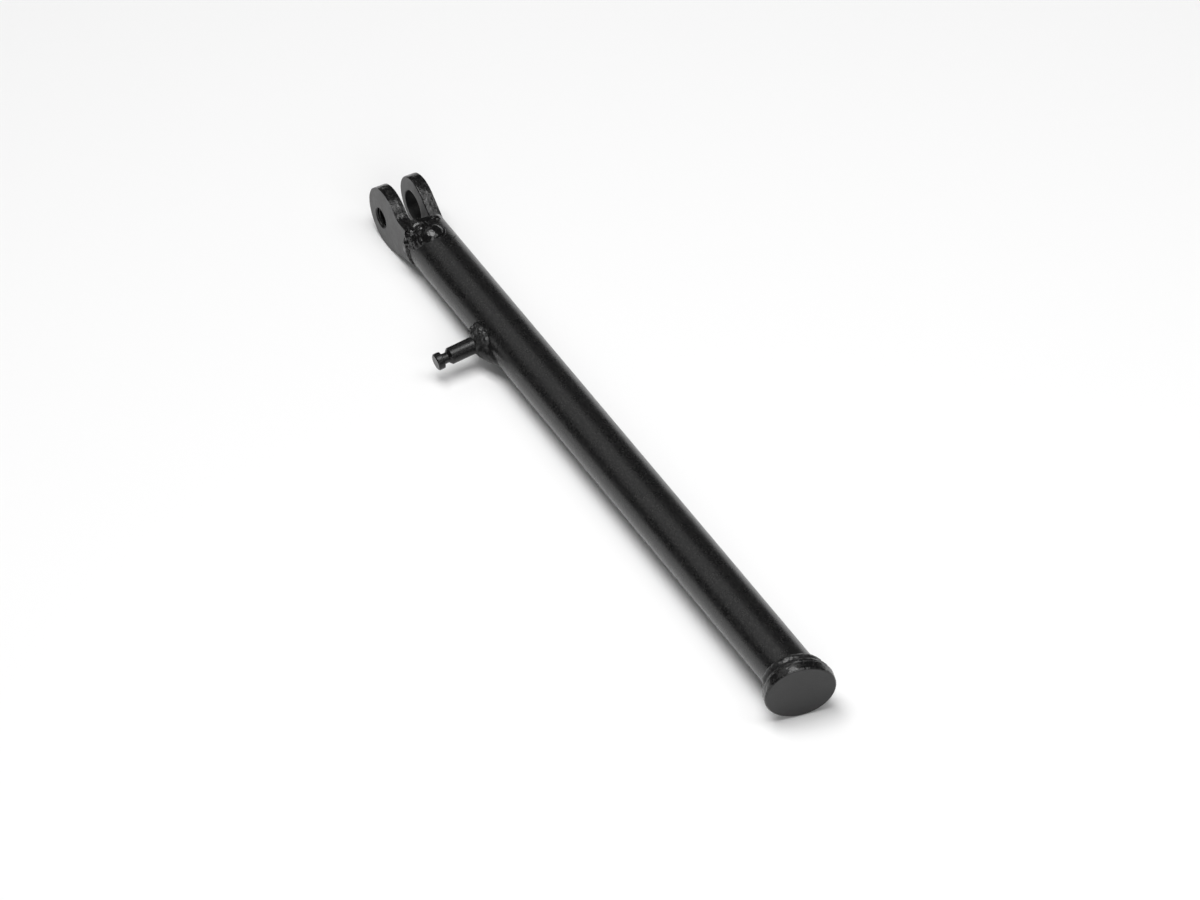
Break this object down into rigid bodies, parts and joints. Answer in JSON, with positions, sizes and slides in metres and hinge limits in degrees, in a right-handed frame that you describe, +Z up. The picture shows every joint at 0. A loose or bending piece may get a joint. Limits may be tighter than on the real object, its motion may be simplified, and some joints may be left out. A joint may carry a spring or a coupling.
{
  "type": "bicycle kickstand leg",
  "caption": "Welded steel side stand leg with a two-ear pivot fork, a grooved spring peg and a tilted round foot.",
  "frame": {"origin": "on the pivot axis, at the plain ear's inner face", "axes": "+X down the leg to the foot, +Y along the pivot axis from the threaded ear to the plain ear, +Z up as the leg lies on a floor"},
  "size_m": [0.3175, 0.0402, 0.0273],
  "materials": {
    "tube_coat": "fine-grained satin black powder coat",
    "plate_coat": "smooth satin black powder coat on cut plate",
    "peg_coat": "smooth satin black powder coat on a turned pin",
    "weld_coat": "glossy black powder coat over weld beads"
  },
  "bodies": {
    "root": {"leg_tube": "tube_coat", "threaded_ear": "plate_coat", "plain_ear": "plate_coat", "fork_weld_top": "weld_coat", "fork_weld_under": "weld_coat", "plain_ear_weld": "weld_coat", "spring_peg": "peg_coat", "peg_weld": "weld_coat", "foot_disc": "plate_coat", "foot_weld": "weld_coat"}
  },
  "joints": []
}
